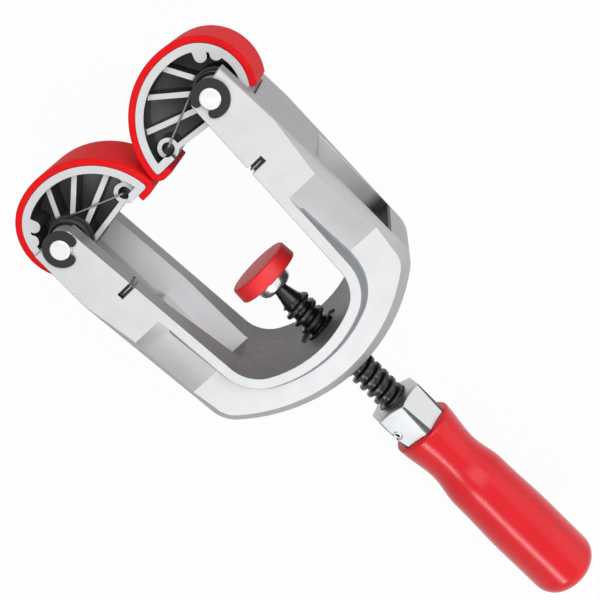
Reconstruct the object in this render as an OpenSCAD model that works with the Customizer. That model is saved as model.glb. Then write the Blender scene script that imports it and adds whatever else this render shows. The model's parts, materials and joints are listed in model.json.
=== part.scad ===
// Edge clamp: U-shaped bow, two sprung eccentric cams, screw spindle with swivel pad.
// Millimetres. X across the throat, Y along the spindle from handle to cams,
// Z up from the back face. The origin lies on the back face, in the middle of the
// bow's inner rim at the crown, under the spindle axis.

/* [Bow] */
// Depth of the bow from back face to front face
depth = 48.6; // [46:0.2:56]
// Thickness of each flange, which ends as a fork ear
flange = 8.3; // [7:0.1:9.5]
// Pivot axis to the bottom of the throat
throat_depth = 89.2; // [86:0.2:105]
// Half the distance between the two pivots
pivot_half = 38; // [36:0.5:46]
// Pivot to the ear's end
ear_reach = 5; // [4:0.1:6]
// Pivot to the ear's inner edge
ear_in = 6.86; // [6:0.02:8]
// Pivot to the ear's outer edge
ear_out = 9.2; // [8:0.1:10.2]
// Pivot to the arm's outside, below the ear
arm_out = 10.4; // [9.5:0.1:13]
// How far below the pivot the arm reaches its full width and its chamfer ends
arm_full = 20; // [14:1:28]
// How much lower the ear's inner end lies than its outer end
ear_fall = 3.2; // [2:0.1:4]
// Edge break round the ears
ear_edge = 0.4; // [0.2:0.05:0.8]
// Radius of the round end about the pivot
ear_round = 6.3; // [5.6:0.1:6.8]
// Lean of the throat's sides, opening toward the cams, in degrees
side_lean = 3.1; // [1:0.1:4.5]
// Rounding of the throat's corners
throat_corner_r = 13.9; // [10:0.1:16]
// Rounding of the throat's bottom
throat_bottom_r = 45; // [40:1:60]
// Rounding of the bow's outer corners
outer_corner_r = 13; // [11:0.5:16]
// Rounding of the bow's crown
crown_r = 69; // [64:1:90]
// Thickness of the crown along the spindle
crown_thick = 17.6; // [15:0.2:22]
// Width of the raised rim along the throat
rim_w = 4; // [3:0.1:5]
// Run of the rim's sloping outer wall
rim_run = 1.6; // [0.8:0.1:2.2]
// How far the bow's faces lie below the rim
face_drop = 5.1; // [3:0.1:5.6]
// Where the arm's face starts sloping down, below the pivot
slope_start = 42; // [36:1:48]
// Where the arm's face stops sloping down, below the pivot
slope_end = 71; // [62:1:76]
// Chamfer along the outer edge
edge_chamfer = 3.5; // [2:0.1:4]
// Outer wall of the arm's channel
wall = 3; // [2.4:0.1:3.6]
// Thickness of the web further down the arm
web = 3.5; // [2.8:0.1:4.2]
// Depth of the pocket outside the web
pocket = 6.4; // [4:0.1:7]
// How far below the pivot the channel's outer wall starts
wall_top = 9.6; // [9:0.1:14]
// Where the wall bends inward to become the web, below the pivot
web_bend = 36; // [33:1:42]
// Where the channel and the pocket end, below the pivot
channel_end = 76; // [71:1:78]
// Bevel at the ends of the channel and the pocket
channel_bevel = 3; // [1.5:0.1:4]

/* [Pivot pins and clips] */
// Diameter of a pivot pin
pin_d = 7.5; // [6.5:0.1:8.5]
// How far a pin stands proud of each face
pin_proud = 2.2; // [2:0.1:4]
// Bevel of a pin's ends
pin_edge = 0.5; // [0.2:0.05:0.6]
// Outer diameter of a clip
clip_outer_d = 13.4; // [12:0.1:15]
// Thickness of a clip
clip_thick = 1.2; // [0.8:0.1:1.3]
// Depth of a clip's groove in the pin
clip_groove = 0.7; // [0.4:0.05:1]
// Opening of the clip's C, in degrees
clip_gap_deg = 84; // [60:1:110]
// The way the left clips' opening faces, in degrees from X
clip_left_faces = -51; // [-180:1:180]
// The way the right clips' opening faces, in degrees from X
clip_right_faces = 194; // [0:1:360]
// Radius of the lug at each end of the C
clip_lug_r = 1.7; // [1.5:0.05:1.9]

/* [Cams] */
// Centre of the cam's round face, from the pivot toward the throat
cam_ecc_in = 6.9; // [5.5:0.1:8.5]
// Centre of the cam's round face, below the pivot
cam_ecc_down = 7.9; // [6.5:0.1:9]
// Half the gap between the two bands at rest
nose_gap = 0.4; // [0.2:0.1:2]
// Centre of the rounded back, from the pivot toward the throat
cam_back_in = 3.4; // [2:0.1:4.5]
// Centre of the rounded back, above the pivot
cam_back_up = 3.2; // [2:0.1:4.5]
// Fall of the tail's cut for each millimetre away from the throat
tail_slope = 0.68; // [0.56:0.02:0.8]
// Thickness of the cam's rim
cam_rim = 2.9; // [1.5:0.1:3.4]
// Thickness of the cam's ribs
rib_t = 2; // [1:0.1:2.4]
// How far the ribs lie below the rim's edges
rib_drop = 3.6; // [3:0.1:4.4]
// Thickness of the cam's middle web
cam_web = 2.4; // [1.6:0.1:3.5]
// Pivot to the inner ends of the two claws on the rim's back
claw_r = 10.8; // [10:0.1:12]
// Width of the two claws
claw_w = 4.6; // [4:0.1:5.2]
// Gap from a cam to the back ear
cam_gap_back = 0.5; // [0.3:0.05:1]
// Gap from a cam to the front ear, where the spring's leg runs
cam_gap_front = 1.5; // [1.3:0.05:2]
// Underside of the cam's nose, below the pivot
nose_down = 6.2; // [5.6:0.1:7]
// Rounding of the cam's nose
nose_r = 1.2; // [0.8:0.1:2]
// Tip of the nose to the boss's centre
boss_back = 8.6; // [7.8:0.1:9.6]
// Centre of the boss, below the pivot
boss_down = 2.2; // [1.6:0.1:2.6]
// Diameter of the boss
boss_d = 7.8; // [7:0.1:8.6]
// Bore of the boss
boss_hole_d = 4.5; // [3.5:0.1:5]
// Radius of the hub round the pin
hub_r = 8.4; // [7.6:0.1:9]
// Running gap between pin and cam
pin_gap = 0.05; // [0.02:0.01:0.1]
// Thickness of the band on the cam's face
band_t = 2.5; // [2:0.1:4]
// Gap between cam and band
band_gap = 0.02; // [0.01:0.01:0.05]
// How far the band hooks back under the nose
hook_len = 4.8; // [4:0.1:7]

/* [Torsion springs] */
// Wire diameter
wire_d = 0.9; // [0.7:0.05:1]
// Radius of the coil at the middle of the wire
coil_r = 7.5; // [6.5:0.1:8]
// Whole turns of the coil
coil_turns = 2; // [1:1:2]
// Distance of the wire's notch below the pivot
notch_down = 26.3; // [23:0.1:32]
// Width of the notch
notch_w = 2.4; // [1.8:0.1:3]
// Depth of the notch in the flange's face
notch_deep = 1.3; // [1:0.1:1.6]
// Length of the notch across the flange
notch_len = 6.5; // [5:0.1:8]

/* [Spindle] */
// Diameter over the thread
spindle_d = 12.2; // [11:0.1:14]
// Pitch of the right-hand thread
pitch = 4; // [3:0.5:5]
// Depth of the thread
thread_deep = 1.8; // [1.2:0.1:2]
// Step from the thread's root down to the shank and to the cone
root_step = 0.3; // [0.2:0.05:0.5]
// How far the shank reaches into the handle
shank_in = 57.3; // [40:0.1:70]
// Diameter of the neck at the tip
neck_d = 5.6; // [4.8:0.1:6.2]
// Length of the cone between thread and neck
cone_len = 5.3; // [3:0.1:8]
// Length of neck that shows behind the bell
neck_show = 1.6; // [0.8:0.1:3]
// How far the thread runs into the ferrule
thread_sink = 3; // [1.5:0.1:5]
// Wall of the threaded bush
bush_wall = 2.55; // [2:0.05:3.5]
// How far the bush's flange stands out
bush_lip = 1.25; // [0.8:0.05:2]
// Thickness of the bush's flange
bush_flange = 1.6; // [1:0.1:2.5]
// How far the bush stays inside the throat's face
bush_inset = 0.6; // [0.3:0.1:2]
// Running gap between spindle and bush
run_gap = 0.1; // [0.06:0.01:0.1]
// How far the crown's boss stands out
crown_boss = 0.6; // [0.3:0.1:2]
// How far the crown's boss surrounds the flange
crown_boss_wall = 1; // [0.5:0.1:2]
// Way of the ferrule to the bush
stroke = 20.4; // [12:0.1:30]

/* [Ferrule and handle] */
// Hexagon across its flats
hex_flats = 21; // [20:0.5:24]
// Length of the hexagon
hex_len = 16.5; // [14:0.5:24]
// Turn of the hexagon about the spindle, in degrees
hex_turn = 18.5; // [0:0.5:60]
// Bevel on the hexagon's front corners
hex_chamfer = 2; // [1:0.1:2.6]
// Diameter of the roll pin
roll_pin_d = 3.5; // [2.5:0.1:4]
// Bore of the roll pin
roll_pin_bore = 1.9; // [1:0.1:2.2]
// Distance of the roll pin behind the hexagon's front
roll_pin_back = 10; // [7:0.1:12]
// How far the roll pin stands proud of the flats
roll_pin_proud = 0.9; // [0.5:0.1:1.5]
// The way the pin's end faces, in degrees from Z toward X
roll_pin_turn = -36; // [-90:1:90]
// Length of the handle
handle_len = 92.3; // [84:0.1:120]
// Radius of the handle at its rim
handle_rim_r = 12.9; // [12.2:0.1:14]
// Radius of the handle at its waist
handle_waist_r = 11.2; // [9.5:0.1:12]
// Radius of the handle at its shoulder
handle_shoulder_r = 13.1; // [12:0.1:14]
// Radius of the handle at its belly
handle_belly_r = 13.9; // [12.5:0.1:16]
// Rounding of the handle's end, along its radius
handle_end_r = 7; // [4:0.1:10]
// Rounding of the handle's end, along its length
handle_end_run = 7.5; // [4:0.1:10]
// Height of the dome on the handle's end
handle_dome = 1.5; // [0.8:0.1:3]

/* [Swivel pad] */
// The pad's face at rest, from the bottom of the throat
pad_reach = 33.4; // [30:0.1:45]
// Diameter of the pad
pad_d = 26.2; // [24:0.1:32]
// Thickness of the pad
pad_thick = 6.5; // [5.8:0.1:8]
// Thickness of the red cap on the pad
pad_skin = 1.6; // [1:0.1:1.8]
// Bevel of the cap's edges
pad_edge = 0.8; // [0.4:0.1:1]
// Diameter of the bell where it meets the pad
bell_big_d = 14.6; // [13.4:0.1:18]
// Diameter of the bell's back
bell_small_d = 12.2; // [11.4:0.1:13.2]
// Length of the bell
bell_len = 5; // [4.4:0.1:7]
// Diameter of the thrust ball
ball_d = 5.6; // [5:0.1:6]
// Ball's centre behind the pad's face
ball_back = 5.9; // [5.6:0.1:6.4]
// Thickness of the cup on the ball
cup_t = 0.9; // [0.6:0.05:1.1]
// How far the cup's edge lies in front of the ball's centre
cup_edge = 0.8; // [0.4:0.1:1.4]
// How far the spindle's head stands out from its neck
head_lip = 1.2; // [1:0.05:1.5]
// Thickness of the spindle's head
head_t = 1.2; // [0.8:0.1:1.4]
// Tilt of the pad each way, in degrees
pad_tilt = 5; // [2:0.5:6]
// Gap at the neck and at the head when the pad is fully tilted
tilt_gap = 0.3; // [0.2:0.05:0.5]
// How much wider the bell's mouth is than the neck's tilt needs
mouth_room = 0.21; // [0.1:0.01:0.5]
// Gap between ball, cup and socket
swivel_gap = 0.12; // [0.08:0.01:0.2]

/* [Hidden] */
$fn = 72;
thread_steps = 16;
wire_sides = 6;
rings_per_turn = 16;
arc_steps = 12;
// a hair's breadth for cuts that pass a face, and a reach that passes everything
tiny = 0.01;
far = 200;
// how far a cut starts outside the shape it cuts
over = 1;

function mix(a, b, t) = a + (b - a) * t;
function along(angle) = [cos(angle), sin(angle)];
function arc_angles(from, to, steps) = [for (i = [0 : steps]) mix(from, to, i / steps)];

// the bow's places
axis_z = depth / 2;
throat_y = rim_w / 2;
pivot_y = throat_y + throat_depth;
ear_top = pivot_y + ear_reach;
ear_half = pivot_half + ear_out;
outer_half = pivot_half + arm_out;
web_half = outer_half - pocket - web;
fork_low = flange;
fork_high = depth - flange;

// the throat's corner: its centre lies on a line along the leaning side and at the
// bottom arc's radius, less its own, from that arc's centre
throat_bottom_c = throat_y + throat_bottom_r;
lean = tan(side_lean);
corner_line = pivot_half - ear_in - throat_corner_r / cos(side_lean) - pivot_y * lean;
corner_reach = throat_bottom_r - throat_corner_r;
corner_half_b = throat_bottom_c - corner_line * lean;
corner_rest = pow(corner_line, 2) + pow(throat_bottom_c, 2) - pow(corner_reach, 2);
throat_corner_c = (corner_half_b - sqrt(pow(corner_half_b, 2) - (1 + lean * lean) * corner_rest))
    / (1 + lean * lean);
throat_corner_x = corner_line + lean * throat_corner_c;
throat_join = atan2(throat_corner_c - throat_bottom_c, throat_corner_x);

// the outer corner and the crown
crown_y = throat_y - crown_thick;
crown_c = crown_y + crown_r;
outer_corner_x = outer_half - outer_corner_r;
outer_corner_c = crown_c
    - sqrt(pow(crown_r - outer_corner_r, 2) - pow(outer_corner_x, 2));
crown_join = atan2(outer_corner_c - crown_c, outer_corner_x);

// the cams' places
// the nose's rounding touches the cam's round face and its flat underside
nose_x = pivot_half - nose_gap - band_t - nose_r;
nose_y = nose_r - nose_down;
cam_r = nose_r + norm([nose_x - cam_ecc_in, nose_y + cam_ecc_down]);
cam_back_r = cam_r - norm([cam_back_in - cam_ecc_in, cam_back_up + cam_ecc_down]);
nose_in = nose_x + nose_r;
boss_in = nose_in - boss_back;
cam_low = fork_low + cam_gap_back;
cam_high = fork_high - cam_gap_front;
rib_low = cam_low + rib_drop;
rib_high = cam_high - rib_drop;
// each rib's place on the hub and its direction, and each claw's direction
ribs = [[77, 61], [37.4, 39.1], [-4.9, 20.3]];
claws = [114, 138];

// the spindle's places along Y
root_r = spindle_d / 2 - thread_deep;
shank_r = root_r - root_step;
bush_r = spindle_d / 2 + run_gap + bush_wall;
bush_flange_r = bush_r + bush_lip;
bush_seat = crown_y - crown_boss;
bush_end = bush_seat - bush_flange;
hex_front = bush_end - stroke;
hex_r = hex_flats / 2 / cos(30);
handle_front = hex_front - hex_len;
shank_end = handle_front - shank_in;
roll_pin_at = hex_front - roll_pin_back;
roll_pin_len = hex_flats + 2 * roll_pin_proud;
thread_end = hex_front - thread_sink;
pad_face = throat_y + pad_reach;
pad_back = pad_face - pad_thick;
bell_back = pad_back - bell_len;
ball_at = pad_face - ball_back;
neck_end = bell_back - neck_show;
thread_start = neck_end - cone_len;
head_r = neck_d / 2 + head_lip;
head_back = ball_at - ball_d / 2 - head_t;
head_room = (ball_at - head_back) * tan(pad_tilt) + tilt_gap;
mouth_r = neck_d / 2 + (ball_at - bell_back) * tan(pad_tilt) + tilt_gap + mouth_room;

// half width of the throat at a height y, from the leaning side
function side_at(y) = pivot_half - ear_in + (y - pivot_y) * lean;

// Placing helpers

// draws its child on the right arm, and mirrored on the left one
module both_arms() {
    children();
    mirror([1, 0, 0]) children();
}

// draws its child at the front, and mirrored at the back
module both_faces() {
    children();
    translate([0, 0, depth]) mirror([0, 0, 1]) children();
}

// from a cam's own frame, u toward the throat and v along Y, to the right pivot
module at_right_pivot() {
    translate([pivot_half, pivot_y, 0]) mirror([1, 0, 0]) children();
}

module at_left_pivot() {
    translate([-pivot_half, pivot_y, 0]) children();
}

// turns a shape made about Z so that it stands on the spindle axis, Z toward the cams
module on_spindle() {
    translate([0, 0, axis_z]) rotate([-90, 0, 0]) children();
}

// revolves a profile of [radius, y] points about the spindle axis
module turned(points) {
    on_spindle() rotate_extrude() polygon(points);
}

// a closed strip of equal rings of points, from the first ring to the last
module skinned(rings) {
    n = len(rings[0]);
    last = len(rings) - 1;
    sides = [for (i = [0 : last - 1], k = [0 : n - 1]) let (
        a = i * n + k, b = i * n + (k + 1) % n) each [[a, b + n, b], [a, a + n, b + n]]];
    first_cap = [for (k = [0 : n - 1]) k];
    last_cap = [for (k = [n - 1 : -1 : 0]) last * n + k];
    polyhedron([for (ring = rings) each ring], concat(sides, [first_cap, last_cap]), convexity = 10);
}

// Bow

// the throat's outline grown by g: left side, corner, bottom, corner, right side
function throat_points(g) =
    let (
        turn = throat_join,
        left = arc_angles(180 + side_lean, 180 - turn, arc_steps),
        low = arc_angles(180 - turn, 360 + turn, arc_steps),
        right = arc_angles(360 + turn, 360 - side_lean, arc_steps),
        top = ear_top + nose_in,
        top_half = side_at(top) + g / cos(side_lean))
    concat(
        [[-top_half, top]],
        [for (a = left) [-throat_corner_x, throat_corner_c] + (throat_corner_r + g) * along(a)],
        [for (i = [1 : arc_steps - 1]) [0, throat_bottom_c] + (throat_bottom_r + g) * along(low[i])],
        [for (a = right) [throat_corner_x, throat_corner_c] + (throat_corner_r + g) * along(a)],
        [[top_half, top]]);

// the bow's outside, each point with the bevel at its edges: corners and crown, then ears
outer_points = let (
        left = arc_angles(180, 180 - crown_join, arc_steps),
        low = arc_angles(180 - crown_join, 360 + crown_join, 2 * arc_steps),
        right = arc_angles(360 + crown_join, 360, arc_steps),
        bevel = face_drop + edge_chamfer,
        full = [outer_half, pivot_y - arm_full],
        ear = [ear_half, ear_top],
        ear_inner = [side_at(pivot_y) - ear_in, ear_top - ear_fall])
    concat(
        [for (a = left) [[-outer_corner_x, outer_corner_c] + outer_corner_r * along(a), bevel]],
        [for (i = [1 : 2 * arc_steps - 1]) [[0, crown_c] + crown_r * along(low[i]), bevel]],
        [for (a = right) [[outer_corner_x, outer_corner_c] + outer_corner_r * along(a), bevel]],
        [for (p = [full, ear, ear_inner]) [p, ear_edge]],
        [for (p = [ear_inner, ear, full]) [[-p[0], p[1]], ear_edge]]);

// a point of the outside drawn inward by d, square to both edges that meet there
function edge_out(i) = let (
        n = len(outer_points),
        run = unit(outer_points[(i + 1) % n][0] - outer_points[i % n][0]))
    [run[1], -run[0]];
function drawn_in(i, d) = let (
        before = edge_out(i + len(outer_points) - 1),
        after = edge_out(i))
    outer_points[i][0] - d * (before + after) / (1 + before * after);
function outer_ring(z, inset) = [for (i = [0 : len(outer_points) - 1]) let (
        d = outer_points[i][1],
        p = drawn_in(i, inset ? d : 0))
    [p[0], p[1], z < axis_z ? z + (inset ? 0 : d) : z - (inset ? 0 : d)]];

// the bow as a solid block with its bevelled edges
module outer_block() {
    skinned([outer_ring(0, true), outer_ring(0, false), outer_ring(depth, false), outer_ring(depth, true)]);
    for (s = [-1, 1]) translate([s * pivot_half, pivot_y, 0]) cylinder(h = depth, r = ear_round);
}

// the rim that stays proud round the throat, with a steep outer wall
module rim() {
    low = depth - face_drop - over;
    high = depth + over;
    steep = rim_run / face_drop;
    g_high = rim_w - steep * over;
    g_low = g_high + (high - low) * steep;
    skinned([
        [for (p = throat_points(g_low)) [p[0], p[1], low]],
        [for (p = throat_points(g_high)) [p[0], p[1], high]]
    ]);
}

// the front face's dip: down the slope of the arms and over the bow, less the rim
module face_cut() {
    beyond = crown_y - far;
    difference() {
        translate([-far / 2, 0, 0]) rotate([90, 0, 90]) linear_extrude(far)
            polygon([
                [pivot_y - slope_start, depth], [pivot_y - slope_end, depth - face_drop],
                [beyond, depth - face_drop], [beyond, depth + 2 * over],
                [pivot_y - slope_start, depth + 2 * over]
            ]);
        rim();
    }
}

// the right arm's channel for the cam, its fork, and the pocket outside the web
module channel_cut() {
    wall_in = outer_half - wall;
    web_out = web_half + web;
    bend_low = web_bend + wall_in - web_half;
    pocket_top = web_bend + web / sin(45) - wall;
    pocket_end = channel_end - over;
    outside = outer_half + far;
    inside = throat_corner_x;
    translate([0, pivot_y, fork_low]) linear_extrude(fork_high - fork_low) {
        polygon([
            [inside, far], [outside, far], [outside, -wall_top], [wall_in, -wall_top],
            [wall_in, -web_bend], [web_half, -bend_low],
            [web_half, -channel_end + channel_bevel], [web_half - channel_bevel, -channel_end],
            [inside, -channel_end]
        ]);
        polygon([
            [outside, -pocket_top], [outer_half, -pocket_top],
            [web_out, -pocket_top - pocket],
            [web_out, -pocket_end + channel_bevel], [web_out + channel_bevel, -pocket_end],
            [outside, -pocket_end]
        ]);
    }
}

// the groove over the flange's inner edge that holds the spring's hooked end
module notch_cut() {
    edge = side_at(pivot_y - notch_down);
    from = edge - notch_len;
    translate([0, pivot_y - notch_down - notch_w / 2, 0]) {
        translate([from, 0, depth - notch_deep])
            cube([edge + notch_len - from, notch_w, notch_deep + over]);
        translate([from, 0, fork_high - over])
            cube([edge + wire_hook - from, notch_w, flange + 2 * over]);
    }
}

module bow() {
    color([0.80, 0.81, 0.82]) difference() {
        union() {
            difference() {
                outer_block();
                translate([0, 0, -over]) linear_extrude(depth + 2 * over) polygon(throat_points(0));
                both_faces() face_cut();
                both_arms() channel_cut();
            }
            on_spindle() translate([0, 0, bush_seat])
                cylinder(h = crown_thick / 2 + crown_boss, r = bush_flange_r + crown_boss_wall);
        }
        on_spindle() translate([0, 0, crown_y - crown_thick]) cylinder(h = 3 * crown_thick, r = bush_r);
        both_arms() {
            translate([pivot_half, pivot_y, -over]) cylinder(h = depth + 2 * over, r = pin_d / 2);
            notch_cut();
        }
    }
}

// the threaded insert cast into the crown, drawn with a plain running bore
module spindle_bush() {
    bore = spindle_d / 2 + run_gap;
    front = throat_y - bush_inset;
    bevel = bush_flange / 3;
    color([0.62, 0.63, 0.64]) turned([
        [bore, front], [bush_r, front], [bush_r, bush_seat],
        [bush_flange_r, bush_seat], [bush_flange_r, bush_end + bevel],
        [bush_flange_r - bevel, bush_end], [bore, bush_end]
    ]);
}

// Pivot pins and clips

module pivot_pin() {
    r = pin_d / 2;
    groove_r = r - clip_groove;
    end = depth + pin_proud;
    color([0.86, 0.86, 0.87]) rotate_extrude() polygon([
        [0, -pin_proud], [r - pin_edge, -pin_proud], [r, -pin_proud + pin_edge],
        [r, -clip_thick], [groove_r, -clip_thick], [groove_r, 0], [r, 0],
        [r, depth], [groove_r, depth], [groove_r, depth + clip_thick], [r, depth + clip_thick],
        [r, end - pin_edge], [r - pin_edge, end], [0, end]
    ]);
}

module left_pivot_pin() { at_left_pivot() pivot_pin(); }
module right_pivot_pin() { at_right_pivot() pivot_pin(); }

// a C-shaped clip that faces along X, with a rounded lug at each end
module clip() {
    inner = pin_d / 2 - clip_groove;
    outer = clip_outer_d / 2;
    half = clip_gap_deg / 2;
    mid = (inner + outer) / 2;
    color([0.30, 0.31, 0.32]) linear_extrude(clip_thick) {
        difference() {
            circle(outer);
            circle(inner);
            polygon([[0, 0], far * along(half), far * along(-half)]);
        }
        for (s = [-1, 1]) rotate(s * half) translate([mid, 0]) circle(clip_lug_r);
    }
}

module left_clip() { at_left_pivot() rotate(clip_left_faces) clip(); }
module right_clip() { translate([pivot_half, pivot_y, 0]) rotate(clip_right_faces) clip(); }
module left_front_clip() { translate([0, 0, depth]) left_clip(); }
module left_rear_clip() { translate([0, 0, -clip_thick]) left_clip(); }
module right_front_clip() { translate([0, 0, depth]) right_clip(); }
module right_rear_clip() { translate([0, 0, -clip_thick]) right_clip(); }

// Cams, in a frame at the pivot with u toward the throat and v along Y

// the side of the line through both arcs' centres that holds the nose
module nose_side() {
    base = [cam_ecc_in, -cam_ecc_down];
    way = far * unit([cam_back_in, cam_back_up] - base);
    across = [way[1], -way[0]];
    polygon([base - way, base + way, base + way + across, base - way + across]);
}

// what the rounding takes off the nose's corner, for an outline grown by g; the arc
// lies a hair inside the faces that it runs into, so that no edge is left between them
module nose_corner(g) {
    out = [nose_x - cam_ecc_in, nose_y + cam_ecc_down];
    translate([nose_x, nose_y]) difference() {
        polygon([[0, 0], [0, -far], [far, -far], far * unit(out)]);
        circle(max(tiny, nose_r + g - 4 * tiny));
    }
}

// the underside of an outline grown by g, where it comes to the boss
function before_boss(g) = [boss_in - boss_d / 2, boss_down / 2 - nose_down - g];

// the cam's outline grown by g: the round face, then the rounded back, cut off under
// the nose and at the tail
module cam_plan(g, tail) {
    low = -nose_down - g;
    under_hub = low - nose_down / 2;
    difference() {
        intersection() {
            union() {
                intersection() {
                    translate([cam_ecc_in, -cam_ecc_down]) circle(cam_r + g);
                    nose_side();
                }
                difference() {
                    translate([cam_back_in, cam_back_up]) circle(cam_back_r + g);
                    nose_side();
                }
            }
            polygon([[0, 0], [0, under_hub], before_boss(g), [boss_in, low],
                [far, low], [far, far], [-far, far], [-far, -far * tail]]);
        }
        if (nose_r + g > 0) nose_corner(g);
    }
}

// a rib between two points, as high as the ribs are
module rib(from, to) {
    run = to - from;
    translate([from[0], from[1], rib_low]) rotate(atan2(run[1], run[0]))
        translate([0, -rib_t / 2, 0]) cube([norm(run), rib_t, rib_high - rib_low]);
}

// one casting serves both sides, turned over: its nose is solid on one face and hollow
// on the other
module solid_nose(from, to) {
    translate([0, 0, from]) linear_extrude(to - from) intersection() {
        cam_plan(0, tail_slope);
        translate([boss_in + boss_hole_d / 2, -2 * nose_down]) square([far, 2 * nose_down + cam_rim]);
    }
}

// the rim's walls are left open round the spring's coil and under its leg
module cam(solid_from, solid_to) {
    foot_r = hub_r - rib_t / 2;
    // the lowest rib runs from the hub's underside to the boss, on the outline
    low_rib_end = before_boss(0);
    low_rib_r = hub_r - rib_t / 4;
    low_rib_turn = atan2(low_rib_end[1], low_rib_end[0]) - acos(low_rib_r / norm(low_rib_end));
    low_rib_way = along(low_rib_turn + 90);
    color([0.78, 0.79, 0.80]) difference() {
        union() {
            solid_nose(solid_from, solid_to);
            translate([0, 0, cam_low]) linear_extrude(cam_high - cam_low) {
                difference() {
                    cam_plan(0, tail_slope);
                    cam_plan(-cam_rim, tail_slope / 2);
                    circle(coil_r + wire_d + coil_room);
                    translate([0, -far]) square([boss_in, far]);
                }
                intersection() {
                    cam_plan(0, tail_slope);
                    for (a = claws) rotate(a) translate([claw_r + claw_w / 2, 0]) {
                        circle(claw_w / 2);
                        translate([0, -claw_w / 2]) square([cam_r, claw_w]);
                    }
                }
            }
            translate([0, 0, axis_z - cam_web / 2]) linear_extrude(cam_web)
                cam_plan(-cam_rim / 2, tail_slope);
            intersection() {
                union() {
                    for (r = ribs) rib(foot_r * along(r[0]), foot_r * along(r[0]) + cam_r * along(r[1]));
                }
                linear_extrude(depth) cam_plan(-cam_rim / 3, tail_slope);
            }
            intersection() {
                translate([0, 0, cam_low]) cylinder(h = rib_high - cam_low, r = hub_r);
                linear_extrude(depth) cam_plan(0, tail_slope);
            }
            translate([boss_in, -boss_down, rib_low]) cylinder(h = rib_high - rib_low, r = boss_d / 2);
            rib((low_rib_r - rib_t / 2) * along(low_rib_turn),
                low_rib_end - rib_t / 2 * along(low_rib_turn) + rib_t * low_rib_way);
        }
        translate([0, 0, -over]) cylinder(h = depth + 2 * over, r = pin_d / 2 + pin_gap);
        translate([boss_in, -boss_down, -over]) cylinder(h = depth + 2 * over, r = boss_hole_d / 2);
    }
}

module left_cam() { at_left_pivot() cam(axis_z, rib_high); }
module right_cam() { at_right_pivot() cam(rib_low, axis_z); }

// the band round the cam's face, hooked under the nose
module cam_band() {
    hook_from = nose_in - hook_len;
    color([0.85, 0.10, 0.14]) translate([0, 0, cam_low]) linear_extrude(cam_high - cam_low)
        difference() {
            cam_plan(band_t, tail_slope);
            cam_plan(band_gap, far);
            polygon([[0, 0], [hook_from - band_t, 0], [hook_from, -nose_down - band_gap],
                [hook_from, -far], [-far, -far], [-far, -far * tail_slope]]);
        }
}

module left_cam_band() { at_left_pivot() cam_band(); }
module right_cam_band() { at_right_pivot() cam_band(); }

// Torsion springs

wire_r = wire_d / 2;
wire_hook = 1.2 * wire_d;
// clear height under and over the coil
coil_room = 0.4;
ear_room = 0.2;
coil_low = rib_high + coil_room + wire_r;
coil_high = fork_high - ear_room - wire_r;
notch_in = pivot_half - side_at(pivot_y - notch_down) - wire_d / 3;

// angles at which the straight legs leave the coil
boss_leg = atan2(-boss_down, boss_in) + acos(coil_r / norm([boss_in, boss_down]));
arm_leg = 360 + atan2(-notch_down, notch_in) - acos(coil_r / norm([notch_in, notch_down]));
coil_sweep = arm_leg - boss_leg + 360 * coil_turns;
coil_rings = ceil(coil_sweep / 360 * rings_per_turn);

function around(r, a, z) = [r * cos(a), r * sin(a), z];
function at_height(p, z) = [p[0], p[1], z];

// the wire's way: up out of the boss, along the leg, round the coil, along the other
// leg and over the flange
boss_point = [boss_in, -boss_down, 0];
boss_bend = [boss_in - wire_d, -boss_down + wire_r, coil_low];
notch_point = [notch_in, -notch_down, 0];
leg_start = around(coil_r, boss_leg, coil_low);
leg_end = around(coil_r, arm_leg, coil_high);
spring_front = depth - notch_deep + wire_r + ear_room / 2;
spring_path = concat(
    [for (z = [rib_high - boss_d / 2, rib_high]) at_height(boss_point, z)],
    [for (t = [0.3, 0.65, 1]) mix(at_height(boss_point, rib_high), boss_bend, t)],
    [for (t = [0.3, 0.6]) mix(boss_bend, leg_start, t)],
    [for (i = [0 : coil_rings]) around(coil_r, boss_leg + coil_sweep * i / coil_rings,
        mix(coil_low, coil_high, i / coil_rings))],
    [for (t = [0.35, 0.7, 0.94]) mix(leg_end, at_height(notch_point, coil_high), t)],
    [for (z = [coil_high + wire_r, coil_high + 2 * wire_d, spring_front - wire_hook])
        at_height(notch_point, z)],
    [[notch_in - wire_r, -notch_down, spring_front - wire_d / 4],
     [notch_in - wire_hook - wire_r, -notch_down, spring_front],
     [notch_in - notch_len + wire_hook, -notch_down, spring_front]]
);

// rings round the path, each turned as little as can be from the one before
function unit(v) = v / norm(v);
function path_dir(p, i) = unit(p[min(i + 1, len(p) - 1)] - p[max(i - 1, 0)]);
function carried(p, i, v) = unit(v - path_dir(p, i) * (v * path_dir(p, i)));
function frames(p, i, v) = i >= len(p) ? [] :
    let (w = carried(p, i, v)) concat([w], frames(p, i + 1, w));
function ring(centre, x, y, r, n) =
    [for (k = [0 : n - 1]) centre + r * (x * cos(360 * k / n) + y * sin(360 * k / n))];

module tube(path, r, n) {
    first = [1, 0.2, 0];
    ways = frames(path, 0, first);
    skinned([for (i = [0 : len(path) - 1])
        ring(path[i], ways[i], -cross(path_dir(path, i), ways[i]), r, n)]);
}

// least distance between points of the wire that lie half a turn or more apart
spring_gap = min([for (i = [0 : len(spring_path) - 1], j = [0 : len(spring_path) - 1])
    if (j - i > rings_per_turn / 2) norm(spring_path[i] - spring_path[j])]) - wire_d;
echo(spring_least_gap_to_itself_mm = spring_gap);

module cam_spring() {
    color([0.45, 0.46, 0.47]) tube(spring_path, wire_r, wire_sides);
}

module left_cam_spring() { at_left_pivot() cam_spring(); }
module right_cam_spring() { at_right_pivot() cam_spring(); }

// Spindle

// shares of one pitch: the root's two halves, a flank and the crest
root_share = 0.25;
flank_share = 0.1875;
crest_share = 0.3125;

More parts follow.
